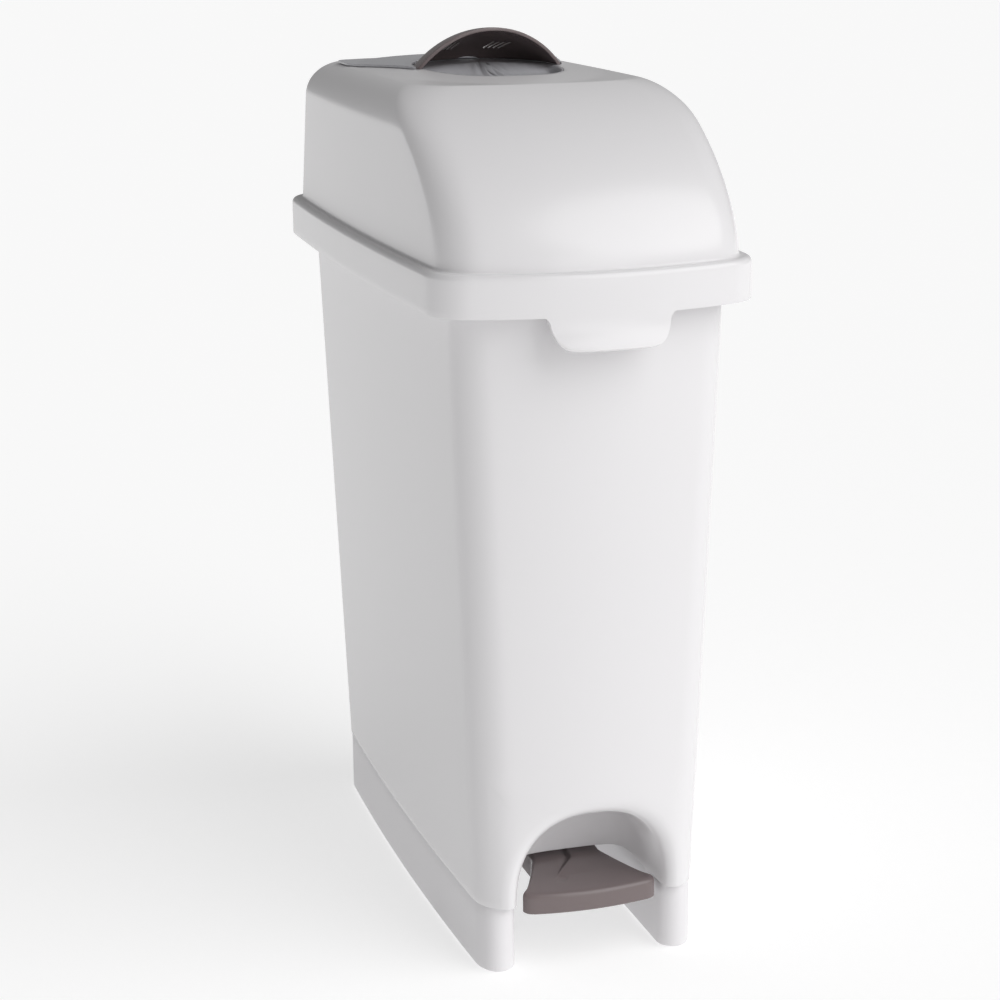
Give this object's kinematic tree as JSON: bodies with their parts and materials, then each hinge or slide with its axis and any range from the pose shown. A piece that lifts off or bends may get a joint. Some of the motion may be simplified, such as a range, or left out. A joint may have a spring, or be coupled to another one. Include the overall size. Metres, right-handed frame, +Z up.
{
  "type": "pedal bin",
  "caption": "Slim pedal bin: tapered body on runners, domed lid lifted by a pedal lever and rear rod, lift-out liner, hooded scent cover.",
  "frame": {"origin": "centre of the bounding box's footprint, on the floor", "axes": "+Z up, -Y towards the front with the pedal, +X to the right seen from the front's viewer"},
  "size_m": [0.2198, 0.447, 0.5955],
  "materials": {
    "white_shell": "satin gloss, moulded",
    "white_inner": "fine matt moulding",
    "taupe_gloss": "gloss, moulded",
    "taupe_matt": "matt moulding",
    "pale_grey": "satin, moulded",
    "liner_grey": "fine matt moulding",
    "scent_gel": "pressed scented block",
    "rubber": "matt",
    "steel": "zinc-plated"
  },
  "bodies": {
    "bin": {"body_shell": "white_shell", "base_plinth": "white_shell", "mechanism_cover": "white_inner", "rim_frame": "white_inner", "rod_channel": "white_inner", "rod_guide_lower": "taupe_matt", "rod_guide_upper": "taupe_matt", "hinge_pin_left": "steel", "hinge_pin_right": "steel", "pedal_axle": "steel", "axle_spacer_left": "white_inner", "axle_spacer_right": "white_inner", "axle_clip_left": "steel", "axle_clip_right": "steel", "foot_pad_front_left": "rubber", "foot_pad_front_right": "rubber", "foot_pad_back_left": "rubber", "foot_pad_back_right": "rubber", "lid_buffer_left": "rubber", "lid_buffer_right": "rubber"},
    "lid": {"lid_shell": "white_shell", "lid_hinge_lug_left": "white_inner", "lid_hinge_lug_right": "white_inner", "lid_crank": "taupe_matt", "crank_pin": "steel", "crank_screw_left": "steel", "crank_screw_right": "steel"},
    "scent_cover": {"cover_plate": "pale_grey", "grip_hood": "taupe_gloss", "scent_tray": "white_inner", "scent_block": "scent_gel"},
    "pedal": {"pedal_tread": "taupe_gloss", "pedal_lever": "steel", "tread_screw_front": "steel", "tread_screw_back": "steel"},
    "rod": {"lift_rod": "steel", "rod_yoke": "taupe_matt", "rod_foot": "taupe_matt"},
    "liner": {"liner_bucket": "liner_grey"},
    "bail": {"bail_wire": "steel", "bail_grip": "taupe_matt"}
  },
  "joints": [
    {"name": "lid_hinge", "type": "hinge", "parent": "bin", "child": "lid", "pos_m": [0, 0.2143, 0.443], "axis": [-1, 0, 0], "range_deg": [0, 62]},
    {"name": "pedal_pivot", "type": "hinge", "parent": "bin", "child": "pedal", "pos_m": [0, -0.0223, 0.038], "axis": [1, 0, 0], "range_deg": [0, 10.3]},
    {"name": "rod_slide", "type": "slide", "parent": "bin", "child": "rod", "axis": [0, 0, 1], "range_m": [0, 0.0373]},
    {"name": "liner_lift", "type": "slide", "parent": "bin", "child": "liner", "axis": [0, 0, 1], "range_m": [0, 0.035]},
    {"name": "bail_swing", "type": "hinge", "parent": "liner", "child": "bail", "pos_m": [0, 0.0077, 0.4513], "axis": [-1, 0, 0], "range_deg": [0, 180]},
    {"name": "scent_cover_lift", "type": "slide", "parent": "lid", "child": "scent_cover", "axis": [0, 0, 1], "range_m": [0, 0.045]}
  ],
  "couplings": [
    {"joint": "pedal_pivot", "follows": "lid_hinge", "ratio": 0.166},
    {"joint": "rod_slide", "follows": "lid_hinge", "m_per_rad": 0.03442}
  ]
}
